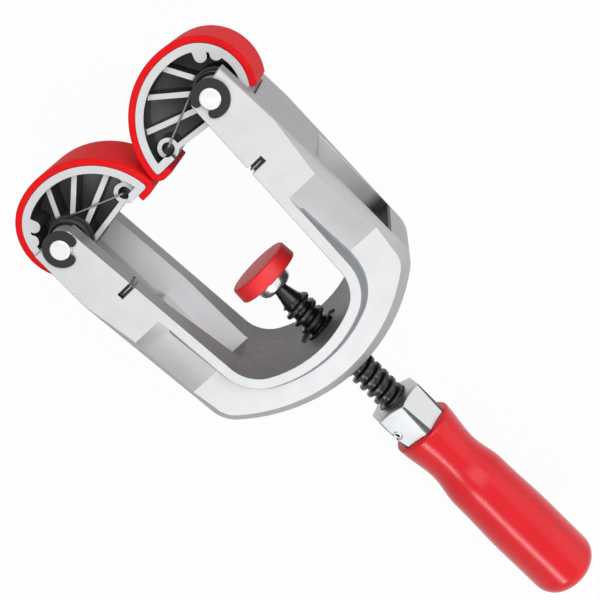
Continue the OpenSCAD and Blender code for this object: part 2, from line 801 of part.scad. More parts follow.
// height of the thread's profile over one pitch, from 0 at the root to 1 at the crest
function crest(t) = let (
        p = t - floor(t) - root_share,
        rise = p / flank_share,
        fall = (2 * flank_share + crest_share - p) / flank_share)
    max(0, min(1, rise, fall));
function fade(y) = min(1, max(0, min(y - thread_end, thread_start - y) / (pitch / 2)));

// the screw as one closed surface; equal steps round and along keep the edges of
// the helix on the grid's diagonals
module screw() {
    n = thread_steps;
    rows = floor((thread_start - thread_end) / pitch * n);
    skinned([for (i = [0 : rows]) let (y = thread_end + i * pitch / n)
        [for (k = [0 : n - 1]) let (
            r = root_r + thread_deep * fade(y) * crest((i - k) / n))
            around(r, 360 * k / n, y)]]);
}

module spindle() {
    color([0.13, 0.13, 0.14]) {
        on_spindle() screw();
        difference() {
            turned([
                [0, thread_start - pitch / 2], [shank_r, thread_start - pitch / 2], [shank_r, thread_start],
                [neck_d / 2, neck_end], [neck_d / 2, head_back], [head_r, head_back],
                [head_r, head_back + head_t], [0, head_back + head_t]
            ]);
            translate([0, ball_at, axis_z]) sphere(ball_d / 2 + swivel_gap);
        }
        difference() {
            turned([[0, shank_end], [shank_r, shank_end], [shank_r, thread_end + pitch / 2],
                [0, thread_end + pitch / 2]]);
            roll_pin_hole();
        }
    }
}

// Ferrule, roll pin and handle

// from the roll pin's own frame, along Z, to its place across the ferrule
module at_roll_pin() {
    translate([0, roll_pin_at, axis_z]) rotate([0, roll_pin_turn, 0]) children();
}

module roll_pin_hole() {
    at_roll_pin() translate([0, 0, -far / 2]) cylinder(h = far, r = roll_pin_d / 2);
}

module hex_ferrule() {
    thread_room = root_r + pitch / 2;
    color([0.85, 0.86, 0.87]) difference() {
        intersection() {
            translate([0, handle_front, axis_z]) rotate([-90, 0, 0]) rotate(90 + hex_turn)
                linear_extrude(hex_len) polygon([for (k = [0 : 5]) hex_r * along(60 * k)]);
            turned([[0, handle_front - over], [hex_r + over, handle_front - over],
                [hex_r + over, hex_front - hex_chamfer], [hex_r - 2 * hex_chamfer, hex_front],
                [0, hex_front + tiny]]);
        }
        on_spindle() {
            translate([0, 0, handle_front - over]) cylinder(h = hex_len + 2 * over, r = shank_r);
            translate([0, 0, thread_end]) cylinder(h = thread_sink + over, r = thread_room);
        }
        roll_pin_hole();
    }
}

module roll_pin() {
    color([0.80, 0.80, 0.81]) at_roll_pin() difference() {
        translate([0, 0, -roll_pin_len / 2]) cylinder(h = roll_pin_len, r = roll_pin_d / 2);
        translate([0, 0, -roll_pin_len]) cylinder(h = 2 * roll_pin_len, r = roll_pin_bore / 2);
    }
}

// the handle's waist, shoulder and belly as shares of its length
waist_at = 0.2;
shoulder_at = 0.37;
belly_at = 0.67;

// the handle's radius along its length, t from 0 at the rim to 1 at the rounded end
function ease(t) = (1 - cos(180 * min(1, max(0, t)))) / 2;
function handle_r(t) = t < waist_at
    ? mix(handle_rim_r, handle_waist_r, ease(t / waist_at))
    : t < shoulder_at
    ? mix(handle_waist_r, handle_shoulder_r, ease((t - waist_at) / (shoulder_at - waist_at)))
    : mix(handle_shoulder_r, handle_belly_r, ease((t - shoulder_at) / (belly_at - shoulder_at)));

module handle() {
    steps = 30;
    edge = 1;
    back = handle_front - handle_len;
    straight = handle_len - handle_end_run - handle_dome;
    end_flat = handle_belly_r - handle_end_r;
    color([0.85, 0.08, 0.12]) difference() {
        turned(concat(
            [[0, handle_front], [handle_rim_r - edge, handle_front]],
            [for (i = [0 : steps]) let (d = mix(edge, straight, i / steps))
                [handle_r(d / handle_len), handle_front - d]],
            [for (a = [10 : 10 : 80])
                [end_flat + handle_end_r * cos(a), back + handle_dome + handle_end_run * (1 - sin(a))]],
            [[end_flat, back + handle_dome / 2], [0, back]]
        ));
        on_spindle() translate([0, 0, shank_end]) cylinder(h = far, r = shank_r);
    }
}

// Swivel pad

module at_ball() {
    translate([0, ball_at, axis_z]) children();
}

module thrust_ball() {
    color([0.75, 0.76, 0.77]) at_ball() sphere(ball_d / 2);
}

// a spherical cup between the ball and the socket
module ball_cup() {
    inner = ball_d / 2 + swivel_gap;
    color([0.70, 0.58, 0.30]) at_ball() difference() {
        sphere(inner + cup_t);
        sphere(inner);
        translate([-far / 2, cup_edge - far, -far / 2]) cube(far);
    }
}

// the plate and its bell, hollow for the spindle's head, the ball and the cup
module pad_socket() {
    cavity = ball_d / 2 + 2 * swivel_gap + cup_t;
    plate_r = pad_d / 2 - pad_skin;
    front = pad_face - pad_skin;
    big = bell_big_d / 2;
    small = bell_small_d / 2;
    lip = bell_len / 10;
    room_r = head_r + head_room;
    color([0.84, 0.85, 0.86]) turned(concat(
        [[mouth_r, bell_back], [small - lip, bell_back]],
        [for (a = [0 : 15 : 90])
            [mix(small, big, sin(a)), bell_back + lip + (bell_len - lip) * (1 - cos(a))]],
        [[plate_r, pad_back], [plate_r, front], [0, front]],
        [for (a = [90 : -10 : 0]) [cavity * cos(a), ball_at + cavity * sin(a)]],
        [[room_r, ball_at], [room_r, head_back - head_room], [mouth_r, head_back - head_room]]
    ));
}

module pad_cap() {
    r = pad_d / 2;
    taper = pad_thick / 20;
    color([0.85, 0.10, 0.14]) turned([
        [0, pad_face - pad_skin], [r - pad_skin, pad_face - pad_skin], [r - pad_skin, pad_back],
        [r - pad_edge, pad_back], [r, pad_back + pad_edge], [r - taper, pad_face - pad_edge],
        [r - taper - pad_edge, pad_face], [0, pad_face]
    ]);
}

// The part

bow();
spindle_bush();
left_pivot_pin();
right_pivot_pin();
left_front_clip();
left_rear_clip();
right_front_clip();
right_rear_clip();
left_cam();
left_cam_band();
left_cam_spring();
right_cam();
right_cam_band();
right_cam_spring();
spindle();
hex_ferrule();
roll_pin();
handle();
thrust_ball();
ball_cup();
pad_socket();
pad_cap();
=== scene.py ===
import json
import math

import bmesh
import bpy
from mathutils import Matrix, Vector


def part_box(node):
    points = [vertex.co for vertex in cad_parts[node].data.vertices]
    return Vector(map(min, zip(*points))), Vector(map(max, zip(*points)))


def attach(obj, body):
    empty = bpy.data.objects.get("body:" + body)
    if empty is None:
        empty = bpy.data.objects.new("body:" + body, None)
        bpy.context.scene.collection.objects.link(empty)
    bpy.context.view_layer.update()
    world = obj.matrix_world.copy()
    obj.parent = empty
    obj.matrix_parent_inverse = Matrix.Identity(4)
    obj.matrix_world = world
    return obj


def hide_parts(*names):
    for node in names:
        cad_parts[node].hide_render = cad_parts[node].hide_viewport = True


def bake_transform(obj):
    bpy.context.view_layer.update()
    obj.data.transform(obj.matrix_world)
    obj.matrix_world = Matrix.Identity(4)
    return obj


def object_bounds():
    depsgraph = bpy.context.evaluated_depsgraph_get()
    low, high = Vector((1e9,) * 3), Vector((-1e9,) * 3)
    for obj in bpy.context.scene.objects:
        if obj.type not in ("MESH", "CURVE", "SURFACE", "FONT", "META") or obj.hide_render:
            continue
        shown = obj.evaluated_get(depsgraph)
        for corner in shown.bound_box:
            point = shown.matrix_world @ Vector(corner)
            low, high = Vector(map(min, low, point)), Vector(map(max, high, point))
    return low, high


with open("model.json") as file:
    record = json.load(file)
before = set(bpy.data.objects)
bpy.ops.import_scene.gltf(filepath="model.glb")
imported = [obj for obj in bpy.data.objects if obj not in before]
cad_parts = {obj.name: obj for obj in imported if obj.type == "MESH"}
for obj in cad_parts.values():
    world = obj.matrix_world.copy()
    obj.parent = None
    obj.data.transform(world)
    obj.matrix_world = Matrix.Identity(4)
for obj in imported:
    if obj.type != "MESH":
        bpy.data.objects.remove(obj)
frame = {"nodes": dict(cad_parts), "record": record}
cad_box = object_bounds()

# Sizes in metres, in the frame of the CAD model

MM = 0.001
BODIES = frame["record"]["behaviour"]["bodies"]
BODY_OF = {node: body for body, nodes in BODIES.items() for node in nodes}

bow_low, bow_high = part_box("bow")
spindle_low, spindle_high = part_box("spindle")
handle_low, handle_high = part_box("handle")
pad_low, pad_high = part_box("pad_cap")
pin_low, pin_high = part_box("right_pivot_pin")
socket_low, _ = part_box("pad_socket")
_, hex_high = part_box("hex_ferrule")
_, cam_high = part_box("right_cam")

AXIS_Z = (bow_low.z + bow_high.z) / 2
FRONT_Z = bow_high.z
PIVOT_X = (pin_low.x + pin_high.x) / 2
PIVOT_Y = (pin_low.y + pin_high.y) / 2
FLANGE = 8.3 * MM
CHANNEL_LEVEL = FRONT_Z - AXIS_Z - FLANGE
CHANNEL_HALF = PIVOT_X + 1.2 * MM
NOTCH_Y = PIVOT_Y - 26.3 * MM
NOTCH_W = 2.4 * MM
NOTCH_DEEP = 1.3 * MM
RIB_DROP = 3.6 * MM
RIB_FRONT = cam_high.z - RIB_DROP
POCKET_START = PIVOT_Y - 40 * MM
POCKET_END = PIVOT_Y - 76 * MM
SLOPE_START = PIVOT_Y - 42 * MM
CHANNEL_SLOPE = 0.18
SPINDLE_R = spindle_high.x
THREAD_PITCH = 4 * MM
THREAD_DEEP = 1.8 * MM
THREAD_END = hex_high.y - 3 * MM
ROOT_R = SPINDLE_R - THREAD_DEEP
SHANK_R = ROOT_R - 0.3 * MM
BELL_BACK = socket_low.y
NECK_R = 2.8 * MM
NECK_END = BELL_BACK - 1.6 * MM
THREAD_START = NECK_END - 5.3 * MM
HEAD_R = NECK_R + 1.2 * MM
HEAD_FRONT = spindle_high.y
HEAD_T = 1.2 * MM

HANDLE_FRONT = handle_high.y
HANDLE_BACK = handle_low.y
HANDLE_LEN = HANDLE_FRONT - HANDLE_BACK
HANDLE_BELLY_R = handle_high.x
HANDLE_SHOULDER_R = HANDLE_BELLY_R - 0.8 * MM
HANDLE_WAIST_R = HANDLE_BELLY_R - 2.7 * MM
HANDLE_RIM_R = HANDLE_BELLY_R - 1.0 * MM
HANDLE_END_R = 7 * MM
HANDLE_END_RUN = 7.5 * MM
HANDLE_DOME = 1.5 * MM

PAD_R = pad_high.x
PAD_FACE = pad_high.y
PAD_BACK = pad_low.y
PAD_SKIN = 1.6 * MM
PAD_EDGE = 1.0 * MM

# The bow's sloping faces, by the least and most that their normals point along z
RIM_WALL_TILT = (0.2, 0.45)
CHAMFER_TILT = (0.5, 0.9)
FACET_TILT = (0.975, 0.992)
SHALLOW_TILT = 0.97
LEVEL_TILT = 0.99

# Key of the face attribute that marks how much painted shade a face takes.
SHADE_MARK_KEY = "painted_shade"
WELD = 1e-6
NEAR = 0.1 * MM
FLAT = math.radians(0.5)
SMOOTH = math.radians(35)
BOW_SMOOTH = math.radians(24)
TURNED_STEPS = 96
SCREW_STEPS = 48


# Mesh helpers


def finished(bm, name, stands_for, finish, smooth=SMOOTH):
    """Makes a shaded object of a bmesh, in the place of the CAD node it stands for."""
    mesh = bpy.data.meshes.new(name)
    bm.to_mesh(mesh)
    bm.free()
    mesh.shade_smooth()
    mesh.set_sharp_from_angle(angle=smooth)
    piece = bpy.data.objects.new(name, mesh)
    bpy.context.scene.collection.objects.link(piece)
    piece.data.materials.append(finish)
    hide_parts(stands_for)
    return piece


def welded(node, gap=WELD):
    """A bmesh of a CAD node with its loose triangles joined and its flats made whole."""
    bm = bmesh.new()
    bm.from_mesh(frame["nodes"][node].data)
    bmesh.ops.remove_doubles(bm, verts=bm.verts, dist=WELD)
    bmesh.ops.dissolve_limit(bm, angle_limit=FLAT, verts=bm.verts, edges=bm.edges)
    bmesh.ops.remove_doubles(bm, verts=bm.verts, dist=gap)
    return bm


def outward_edges(bm, crease):
    """The outward edges that are sharper than the crease angle."""
    limit = math.radians(crease)
    return [e for e in bm.edges if e.is_manifold and e.is_convex and e.calc_face_angle(0) > limit]


def soften(bm, edges, radius, segments):
    """Rounds edges, and gives the faces this makes."""
    made = bmesh.ops.bevel(
        bm, geom=edges, offset=radius, offset_type="OFFSET", segments=segments, profile=0.5,
        affect="EDGES", material=-1, clamp_overlap=False,
    )
    return made["faces"]


def softened(node, name, finish, radius, segments=3, crease=40, gap=WELD):
    """A CAD node with its edges rounded, and its flats kept flat in the shading."""
    bm = welded(node, gap)
    soften(bm, outward_edges(bm, crease), radius, segments)
    piece = finished(bm, name, node, finish)
    keep_flats(piece)
    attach(piece, BODY_OF[node])


def keep_flats(piece):
    """Keeps flat faces flat in the shading, so that only the rounded edges turn."""
    flats = piece.modifiers.new("flat_faces", "WEIGHTED_NORMAL")
    flats.keep_sharp = True


def spun(bm, profile, steps):
    """Turns a profile of (radius, y) points about the spindle axis, and closes it."""
    verts = [bm.verts.new((r, y, AXIS_Z)) for r, y in profile]
    edges = [bm.edges.new(pair) for pair in zip(verts, verts[1:])]
    bmesh.ops.spin(
        bm, geom=verts + edges, cent=(0, 0, AXIS_Z), axis=(0, 1, 0),
        angle=math.tau, steps=steps, use_merge=True,
    )
    bmesh.ops.remove_doubles(bm, verts=bm.verts, dist=WELD)
    bmesh.ops.recalc_face_normals(bm, faces=bm.faces)


def arc(centre, radius, start, end, steps):
    """Points of an arc or, with two radii, of an ellipse, in (radius, y)."""
    across, length = radius if isinstance(radius, tuple) else (radius, radius)
    turns = [math.radians(start + (end - start) * i / steps) for i in range(steps + 1)]
    return [(centre[0] + across * math.cos(t), centre[1] + length * math.sin(t)) for t in turns]


def mix(a, b, t):
    """From a at 0 to b at 1."""
    return a + (b - a) * t


def ease(t):
    """A smooth step from 0 to 1."""
    return (1 - math.cos(math.pi * min(1, max(0, t)))) / 2


# Shader helpers


class Value:
    """A shader socket that adds Math nodes when it is used in an expression."""

    def __init__(self, finish, socket):
        self.finish = finish
        self.socket = socket

    def math(self, operation, a, b):
        """Adds a Math node."""
        return self.finish.node("ShaderNodeMath", {"operation": operation}, {0: a, 1: b})

    def __add__(self, other):
        return self.math("ADD", self, other)

    def __radd__(self, other):
        return self.math("ADD", other, self)

    def __sub__(self, other):
        return self.math("SUBTRACT", self, other)

    def __rsub__(self, other):
        return self.math("SUBTRACT", other, self)

    def __mul__(self, other):
        return self.math("MULTIPLY", self, other)

    def __rmul__(self, other):
        return self.math("MULTIPLY", other, self)

    def __pow__(self, other):
        return self.math("POWER", self, other)


class Nodes:
    """A node tree that is built from expressions."""

    def __init__(self, owner, output):
        owner.use_nodes = True
        self.tree = owner.node_tree
        self.tree.nodes.clear()
        self.output = self.tree.nodes.new(output)

    def node(self, kind, settings=None, inputs=None, out=0):
        """Adds a node, with its settings first and then the values or links of its sockets."""
        made = self.tree.nodes.new(kind)
        for key, value in (settings or {}).items():
            setattr(made, key, value)
        for key, value in (inputs or {}).items():
            socket = made.inputs[key]
            if isinstance(value, Value):
                self.tree.links.new(value.socket, socket)
            elif socket.type == "RGBA":
                socket.default_value = (*value, 1)
            else:
                socket.default_value = value
        return Value(self, made.outputs[out])

    def surface(self, shader):
        """Ends the tree with a shader."""
        self.tree.links.new(shader.socket, self.output.inputs["Surface"])

    def seen(self):
        """1 where the eye meets a surface, itself or in a reflection, and 0 for the light."""
        rays = ("Is Camera Ray", "Is Glossy Ray", "Is Transmission Ray")
        camera, glossy, through = [self.node("ShaderNodeLightPath", out=ray) for ray in rays]
        return camera + glossy + through


class Finish(Nodes):
    """A material with one Principled shader."""

    def __init__(self, name):
        self.material = bpy.data.materials.new(name)
        super().__init__(self.material, "ShaderNodeOutputMaterial")

    def place(self):
        """The point on the piece, in the frame of the CAD model."""
        return self.node("ShaderNodeTexCoord", out="Object")

    def axes(self):
        """The three coordinates of the point on the piece."""
        place = self.place()
        return [self.node("ShaderNodeSeparateXYZ", inputs={0: place}, out=i) for i in range(3)]

    def facing(self):
        """The three parts of the surface's outward direction, in the piece's own frame."""
        way = self.node("ShaderNodeTexCoord", out="Normal")
        return [self.node("ShaderNodeSeparateXYZ", inputs={0: way}, out=i) for i in range(3)]

    def painted_shade(self):
        """How much painted shade the face is marked to take, from 0 to 1."""
        return self.node("ShaderNodeAttribute", {"attribute_name": SHADE_MARK_KEY}, out="Fac")

    def size_of(self, value):
        """A value without its sign."""
        return self.node("ShaderNodeMath", {"operation": "ABSOLUTE"}, {0: value})

    def span(self, across, along):
        """The distance that two lengths at right angles make."""
        return (across * across + along * along) ** 0.5

    def noise(self, size, detail=2.0, rough=0.5, stretch=(1, 1, 1)):
        """Noise whose features are about size metres across."""
        place = self.node("ShaderNodeMapping", {}, {"Vector": self.place(), "Scale": stretch})
        inputs = {"Vector": place, "Scale": 1 / size, "Detail": detail, "Roughness": rough}
        return self.node("ShaderNodeTexNoise", {}, inputs, "Fac")

    def between(self, value, low, high):
        """How far a value lies between two limits, from 0 to 1."""
        return self.node(
            "ShaderNodeMapRange", {"interpolation_type": "SMOOTHSTEP"},
            {"Value": value, "From Min": low, "From Max": high},
        )

    def blend(self, share, first, second):
        """One colour to another."""
        inputs = {0: share, 6: first, 7: second}
        return self.node("ShaderNodeMix", {"data_type": "RGBA"}, inputs, 2)

    def bump(self, height, distance, strength=1.0, normal=None):
        """A normal with fine relief, on top of another where one is given."""
        inputs = {"Height": height, "Distance": distance, "Strength": strength}
        if normal is not None:
            inputs["Normal"] = normal
        return self.node("ShaderNodeBump", {}, inputs)

    def shade(self, **sockets):
        """Ends the material with a Principled shader; a name's underscores are spaces."""
        inputs = {key.replace("_", " "): value for key, value in sockets.items()}
        self.surface(self.node("ShaderNodeBsdfPrincipled", {}, inputs))
        return self.material


# Finishes


def blasted(f, dark, light):
    """The colour, roughness and normal of bead-blasted cast alloy."""
    grain = f.noise(0.35 * MM, 3, 0.6)
    blotch = f.noise(9 * MM, 3, 0.55)
    fleck = f.between(f.noise(0.9 * MM, 2, 0.7), 0.62, 0.78)
    colour = f.blend(blotch * 0.7 + grain * 0.3, dark, light)
    colour = f.blend(fleck * 0.2, colour, dark)
    normal = f.bump(grain, 0.03 * MM, 0.5)
    normal = f.bump(blotch, 0.2 * MM, 0.3, normal)
    return colour, 0.42 + 0.14 * grain, normal


def painted_inner_shade(f, x, y):
    """Where painted shade goes on the inner walls of the arms and the crown, and its colour,
    lighter away from the crown.
    """
    nx, ny, _ = f.facing()
    side = 2 * f.between(x, -1 * MM, 1 * MM) - 1
    inner = f.between(0 - side * nx, 0.3, 0.7)
    inner = inner * f.between(f.size_of(x), PIVOT_X - 2 * MM, PIVOT_X - 3 * MM)
    crown = f.between(ny, 0.3, 0.7) * f.between(y, 45 * MM, 30 * MM)
    stain = f.noise(4 * MM, 4, 0.6)
    colour = f.blend(stain, (0.13, 0.118, 0.122), (0.24, 0.222, 0.227))
    colour = f.blend(f.between(y, 15 * MM, 60 * MM), colour, (0.34, 0.34, 0.346))
    return inner + crown - inner * crown, colour


def front_notch(f, half, y, z):
    """Where the notch for the spring's wire is deep, in the arm's front face, for its painted
    shadow.
    """
    across = f.between(f.size_of(y - NOTCH_Y), NOTCH_W / 2 + 0.1 * MM, NOTCH_W / 2 - 0.1 * MM)
    deep = f.between(z, FRONT_Z - 0.05 * MM, FRONT_Z - 0.4 * MM)
    deep = deep * f.between(z, FRONT_Z - NOTCH_DEEP - 0.2 * MM, FRONT_Z - NOTCH_DEEP)
    return across * deep * f.between(half, PIVOT_X, PIVOT_X - 1 * MM)


def bow_finish():
    """Blasted faces, with painted shade on the slopes, sides, inner walls and arm pockets, painted
    shadow in the notch, and painted light on the channel floors.
    """
    f = Finish("cast_bow")
    colour, rough, normal = blasted(f, (0.55, 0.56, 0.57), (0.72, 0.73, 0.74))
    x, y, z = f.axes()
    _, _, nz = f.facing()
    half = f.size_of(x)
    level = f.size_of(z - AXIS_Z)
    # Painted shade: faces that turn sideways are darkened.
    side_shade = f.between(f.size_of(nz), 0.5, 0.2)
    colour = f.blend(side_shade * 0.75, colour, (0.30, 0.31, 0.32))
    # Painted shade on the marked faces: the shallow slopes, chamfers, rim wall and the rounded
    # foot of the rim.
    colour = f.blend(f.painted_shade(), colour, (0.24, 0.247, 0.258))
    # Painted light: the floors of the arms' channels are made pale and less metallic, standing in
    # for light that reaches them.
    recess = f.between(level, CHANNEL_LEVEL + 0.6 * MM, CHANNEL_LEVEL + 0.2 * MM)
    wall = CHANNEL_HALF + 2 * MM * f.between(y, POCKET_START - 4 * MM, POCKET_START + 4 * MM)
    channel = recess * f.between(half - wall, 0.5 * MM, -0.5 * MM)
    channel = channel * f.between(y, POCKET_END - 0.2 * MM, POCKET_END + 0.4 * MM)
    colour = f.blend(channel, colour, (0.84, 0.85, 0.87))
    # Painted shade on the inner walls of the arms and the crown.
    inner_shade, inner_shade_colour = painted_inner_shade(f, x, y)
    colour = f.blend(inner_shade, colour, inner_shade_colour)
    # Painted shade in the pockets of the arms' outer sides, growing darker along them, with a
    # painted shadow at their far end.
    pocket = recess * f.between(half, PIVOT_X + 1.5 * MM, PIVOT_X + 2.5 * MM)
    pocket = pocket * f.between(y, POCKET_END - 0.6 * MM, POCKET_END - 0.2 * MM)
    shaded = f.between(y, POCKET_START + 6 * MM, POCKET_END)
    colour = f.blend(pocket * shaded * 0.7, colour, (0.16, 0.163, 0.168))
    bottom = f.between(y, POCKET_END + 9 * MM, POCKET_END + 3 * MM)
    colour = f.blend(pocket * bottom, colour, (0.025, 0.025, 0.027))
    # Painted shadow in the notch for the spring's wire.
    colour = f.blend(front_notch(f, half, y, z), colour, (0.02, 0.02, 0.02))
    return f.shade(
        Base_Color=colour, Metallic=0.3 - 0.25 * channel, Roughness=rough, Normal=normal,
    )


def pivot_reach(f, x, y):
    """How far a point lies from the axis of its own side's pivot pin."""
    return f.span(f.size_of(x) - PIVOT_X, y - PIVOT_Y)


def cam_finish():
    """Blasted rib tops, with painted shade on the hub and in the pockets between the ribs."""
    f = Finish("cast_cam")
    colour, rough, normal = blasted(f, (0.58, 0.59, 0.60), (0.70, 0.71, 0.72))
    x, y, z = f.axes()
    _, _, nz = f.facing()
    height = f.size_of(z - AXIS_Z)
    rib = RIB_FRONT - AXIS_Z
    top = f.between(f.size_of(nz), 0.4, 0.85) * f.between(height, rib - 1.2 * MM, rib - 0.6 * MM)
    reach = pivot_reach(f, x, y)
    clear_of_hub = f.between(reach, 8.2 * MM, 9.4 * MM)
    top = top * clear_of_hub
    # Painted shade: only the rib tops keep the blasted colour; the web darkens toward the hub and
    # the pocket walls darken with depth, with a random mottle.
    web = f.blend(f.between(reach, 10 * MM, 30 * MM), (0.05, 0.052, 0.055), (0.27, 0.28, 0.29))
    deep = f.blend(f.between(height, 2 * MM, rib + 2 * MM), web, (0.045, 0.047, 0.05))
    deep = f.blend(f.noise(8 * MM, 3, 0.5) * 0.5, deep, (0.03, 0.03, 0.032))
    return f.shade(
        Base_Color=f.blend(top, deep, colour), Metallic=0.3, Roughness=rough, Normal=normal,
    )


def red_elastomer(name, gloss):
    """The smooth, slightly waxy red of the bands and the pad."""
    f = Finish(name)
    cloud = f.noise(7 * MM, 3, 0.5)
    speck = f.noise(0.25 * MM, 2, 0.6)
    colour = f.blend(cloud, (0.82, 0.010, 0.014), (0.93, 0.020, 0.024))
    return f.shade(
        Base_Color=colour, Roughness=0.42 + 0.16 * speck, Specular_IOR_Level=gloss,
        Normal=f.bump(speck, 0.006 * MM, 0.3),
    )


def red_lacquer():
    """The handle's glossy red, with a faint orange peel."""
    f = Finish("red_lacquer")
    cloud = f.noise(14 * MM, 2, 0.5)
    peel = f.noise(1.6 * MM, 2, 0.45)
    colour = f.blend(cloud, (0.72, 0.004, 0.012), (0.80, 0.008, 0.020))
    return f.shade(
        Base_Color=colour, Roughness=0.21 + 0.06 * peel, Specular_IOR_Level=0.34,
        Normal=f.bump(peel, 0.02 * MM, 0.35),
    )


def plated(f, dark, light):
    """The colour, roughness and normal of plated steel, with the fine rings of its turning."""
    rings = f.noise(0.22 * MM, 1, 0.5, (0.02, 1, 0.02))
    stain = f.noise(5 * MM, 3, 0.6)
    colour = f.blend(stain, dark, light)
    return colour, 0.12 * stain + 0.05 * rings, f.bump(rings, 0.01 * MM, 0.3)


def bright_zinc(name, rough, dark=(0.68, 0.69, 0.71), light=(0.84, 0.85, 0.86)):
    """Plated steel of a given roughness."""
    f = Finish(name)
    colour, varied, normal = plated(f, dark, light)
    return f.shade(Base_Color=colour, Metallic=1.0, Roughness=rough + varied, Normal=normal)


def hex_zinc():
    """Plated flats, with painted shade on the round corners between them."""
    f = Finish("hex_zinc")
    colour, varied, normal = plated(f, (0.46, 0.47, 0.48), (0.56, 0.57, 0.58))
    # Painted shade on the marked round corners between the flats.
    colour = f.blend(f.painted_shade(), colour, (0.09, 0.092, 0.095))
    return f.shade(Base_Color=colour, Metallic=1.0, Roughness=0.28 + varied, Normal=normal)


def black_oxide():
    """Oiled black steel, with a thin line along the thread's crests that is partly worn bare and
    partly a painted glint.
    """
    f = Finish("black_oxide")
    x, _, z = f.axes()
    # The lighter, more metallic line on the crests is partly worn bare and partly a painted glint.
    crest = f.between(f.span(x, z - AXIS_Z), SPINDLE_R - 0.25 * MM, SPINDLE_R)
    wear_and_glint = crest * f.between(f.noise(1.6 * MM, 3, 0.6), 0.4, 0.7)
    oil = f.noise(3 * MM, 3, 0.6)
    colour = f.blend(wear_and_glint * 0.5, (0.008, 0.008, 0.009), (0.20, 0.20, 0.21))
    return f.shade(
        Base_Color=colour, Metallic=0.2 + 0.5 * wear_and_glint, Roughness=0.2 + 0.12 * oil,
        Normal=f.bump(oil, 0.02 * MM, 0.3),
    )


def dark_phosphate():
    """The matt dark coat of the clips."""
    f = Finish("dark_phosphate")
    grain = f.noise(0.3 * MM, 3, 0.65)
    colour = f.blend(grain, (0.018, 0.019, 0.021), (0.05, 0.052, 0.055))
    return f.shade(
        Base_Color=colour, Metallic=0.1, Roughness=0.42 + 0.18 * grain, Specular_IOR_Level=0.15,
        Normal=f.bump(grain, 0.01 * MM, 0.5),
    )


def drawn_wire():
    """Grey spring wire, with painted shade where it winds round the pivot."""
    f = Finish("drawn_wire")
    x, y, _ = f.axes()
    streak = f.noise(0.4 * MM, 3, 0.6)
    colour = f.blend(streak, (0.14, 0.142, 0.145), (0.30, 0.303, 0.31))
    # Painted shade on the wire where it winds round the pivot.
    coil_shade = f.between(pivot_reach(f, x, y), 11 * MM, 9 * MM)
    colour = f.blend(coil_shade * 0.8, colour, (0.02, 0.02, 0.021))
    return f.shade(Base_Color=colour, Metallic=0.9, Roughness=0.3 + 0.15 * streak)


def plain_brass():
    """The cup inside the pad."""
    f = Finish("plain_brass")
    stain = f.noise(1.5 * MM, 3, 0.6)
    colour = f.blend(stain, (0.50, 0.34, 0.12), (0.70, 0.52, 0.22))
    return f.shade(Base_Color=colour, Metallic=1.0, Roughness=0.3 + 0.2 * stain)


cast_bow = bow_finish()
cast_cam = cam_finish()
red_band = red_elastomer("red_band", 0.02)
red_pad = red_elastomer("red_pad", 0.6)
red_handle = red_lacquer()
zinc = bright_zinc("bright_zinc", 0.16)
zinc_pin = bright_zinc("bright_pin", 0.22)
zinc_hex = hex_zinc()
dull_steel = bright_zinc("dull_steel", 0.4, (0.06, 0.06, 0.062), (0.14, 0.14, 0.145))
black_steel = black_oxide()
clip_steel = dark_phosphate()
spring_steel = drawn_wire()
cup_brass = plain_brass()


# Bow, cams, bands, pins, clips and springs: the CAD pieces with their edges rounded


def bow_piece():
    """The bow, with the faces that take painted shade marked for the finish."""
    bm = welded("bow", gap=0.15 * MM)
    slope_channels(bm)
    painted_shade = bm.faces.layers.float.new(SHADE_MARK_KEY)
    for face in bm.faces:
        face[painted_shade] = painted_shade_share(face)
    fillet_rim(bm, painted_shade)
    sharp = [e for e in outward_edges(bm, crease=55) if not runs_out(e)]
    soften(bm, sharp, radius=0.3 * MM, segments=4)
    bmesh.ops.dissolve_degenerate(bm, edges=bm.edges, dist=WELD)
    piece = finished(bm, "bow_casting", "bow", cast_bow, BOW_SMOOTH)
    sharpen_slopes(piece.data)
    keep_flats(piece)
    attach(piece, BODY_OF["bow"])


def tilted(face, limits, least_area=0):
    """Whether a face points along z within limits, and is large enough to count."""
    return limits[0] < abs(face.normal.z) < limits[1] and face.calc_area() > least_area


def is_facet(face):
    """Whether a face is one of the shallow slopes between the arms and the crown."""
    return tilted(face, FACET_TILT, 20 * MM * MM) and face.normal.y < -0.1


def is_rim_wall(face):
    """Whether a face is part of the outer wall of the raised rim."""
    return tilted(face, RIM_WALL_TILT, 0.1 * MM * MM)


def painted_shade_share(face):
    """How much painted shade a face of the bow takes: its slopes, its chamfers and the rim's outer
    wall.
    """
    if is_facet(face):
        return 0.46
    if is_rim_wall(face):
        return 0.8
    if tilted(face, CHAMFER_TILT, MM * MM):
        return 0.55
    return 0.0


def cut_across(bm, faces, y):
    """Cuts faces in two along a plane across the bow."""
    edges = {e for f in faces for e in f.edges}
    verts = {v for f in faces for v in f.verts}
    bmesh.ops.bisect_plane(
        bm, geom=[*verts, *edges, *faces], dist=WELD, plane_co=(0, y, 0), plane_no=(0, 1, 0),
    )


def fillet_rim(bm, painted_shade):
    """Rounds the foot of the raised rim, and marks the rounding for the darkest line of painted
    shade on the casting.
    """
    start = SLOPE_START - 6 * MM
    cut_across(bm, [f for f in bm.faces if is_rim_wall(f) or is_facet(f)], start)
    foot = []
    for edge in bm.edges:
        low = max(v.co.y for v in edge.verts) < start + NEAR
        if low and len(edge.link_faces) == 2 and not edge.is_convex:
            wall, base = sorted(edge.link_faces, key=lambda f: abs(f.normal.z))
            if tilted(wall, RIM_WALL_TILT) and abs(base.normal.z) > SHALLOW_TILT:
                foot.append(edge)
    for face in soften(bm, foot, radius=0.8 * MM, segments=3):
        face[painted_shade] = 1.0
    bm.normal_update()


